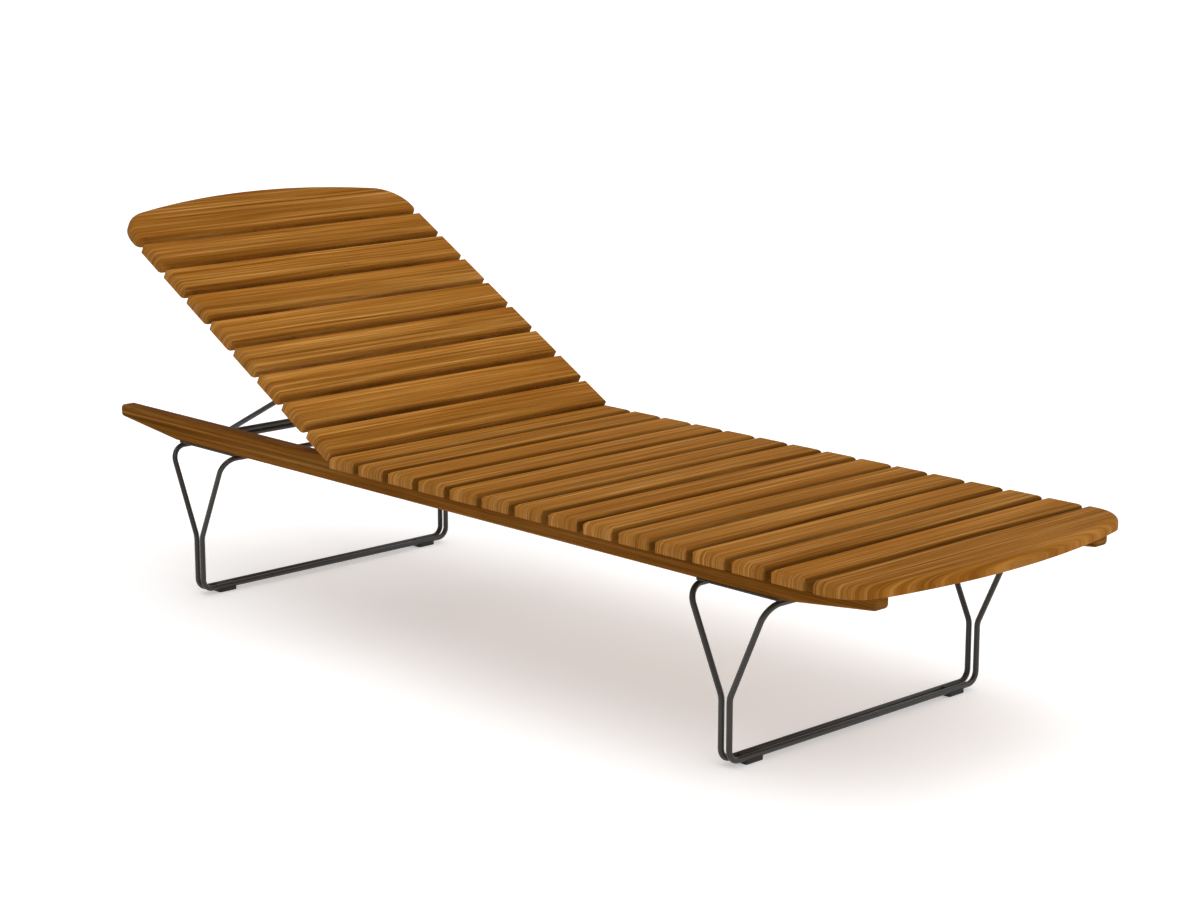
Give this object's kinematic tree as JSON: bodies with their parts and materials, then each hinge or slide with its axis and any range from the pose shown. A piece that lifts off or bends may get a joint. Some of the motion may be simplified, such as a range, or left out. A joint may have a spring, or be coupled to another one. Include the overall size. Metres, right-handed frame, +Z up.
{
  "type": "reclining sun lounger",
  "caption": "Low slatted bamboo lounger with a propped, hinged backrest on two bent-rod leg frames",
  "frame": {"origin": "on the floor under the middle of the outline, backrest raised as at rest", "axes": "+Z up, X across the width, +Y along the length towards the head end"},
  "size_m": [0.679, 1.9846, 0.7307],
  "materials": {
    "slats": "oiled strand-woven bamboo, satin",
    "rails": "oiled strand-woven bamboo, satin",
    "battens": "oiled strand-woven bamboo, satin",
    "rods": "dark grey powder coat, fine texture",
    "straps": "dark grey powder coat",
    "racks": "dark grey powder coat",
    "hardware": "zinc-plated steel",
    "pads": "matt black rubber"
  },
  "bodies": {
    "frame": {"foot_left_pad": "pads", "foot_left_strap": "straps", "foot_leg_footward_rod": "rods", "foot_leg_headward_rod": "rods", "foot_right_pad": "pads", "foot_right_strap": "straps", "foot_slat": "slats", "head_left_pad": "pads", "head_left_strap": "straps", "head_leg_footward_rod": "rods", "head_leg_headward_rod": "rods", "head_right_pad": "pads", "head_right_strap": "straps", "hinge_collars": "hardware", "hinge_rod": "hardware", "hinge_spacers": "hardware", "left_rack": "racks", "left_rail": "rails", "right_rack": "racks", "right_rail": "rails", "seat_slat_01": "slats", "seat_slat_02": "slats", "seat_slat_03": "slats", "seat_slat_04": "slats", "seat_slat_05": "slats", "seat_slat_06": "slats", "seat_slat_07": "slats", "seat_slat_08": "slats", "seat_slat_09": "slats", "seat_slat_10": "slats", "seat_slat_11": "slats", "seat_slat_12": "slats", "seat_slat_13": "slats", "seat_slat_14": "slats", "seat_slat_screws": "hardware", "strap_screws": "hardware"},
    "backrest": {"back_slat_01": "slats", "back_slat_02": "slats", "back_slat_03": "slats", "back_slat_04": "slats", "back_slat_05": "slats", "back_slat_06": "slats", "back_slat_07": "slats", "back_slat_08": "slats", "back_slat_screws": "hardware", "head_slat": "slats", "left_back_batten": "battens", "right_back_batten": "battens"},
    "prop": {"prop_bail": "rods"}
  },
  "joints": [
    {"name": "backrest_hinge", "type": "hinge", "parent": "frame", "child": "backrest", "pos_m": [0, 0.25325, 0.3145], "axis": [1, 0, 0], "range_deg": [-29.5, 3.4]},
    {"name": "prop_hinge", "type": "hinge", "parent": "backrest", "child": "prop", "pos_m": [0, 0.4866, 0.44346], "axis": [1, 0, 0], "range_deg": [-6.3, 52.7]}
  ],
  "couplings": [
    {"joint": "prop_hinge", "follows": "backrest_hinge", "ratio": -1.77}
  ]
}
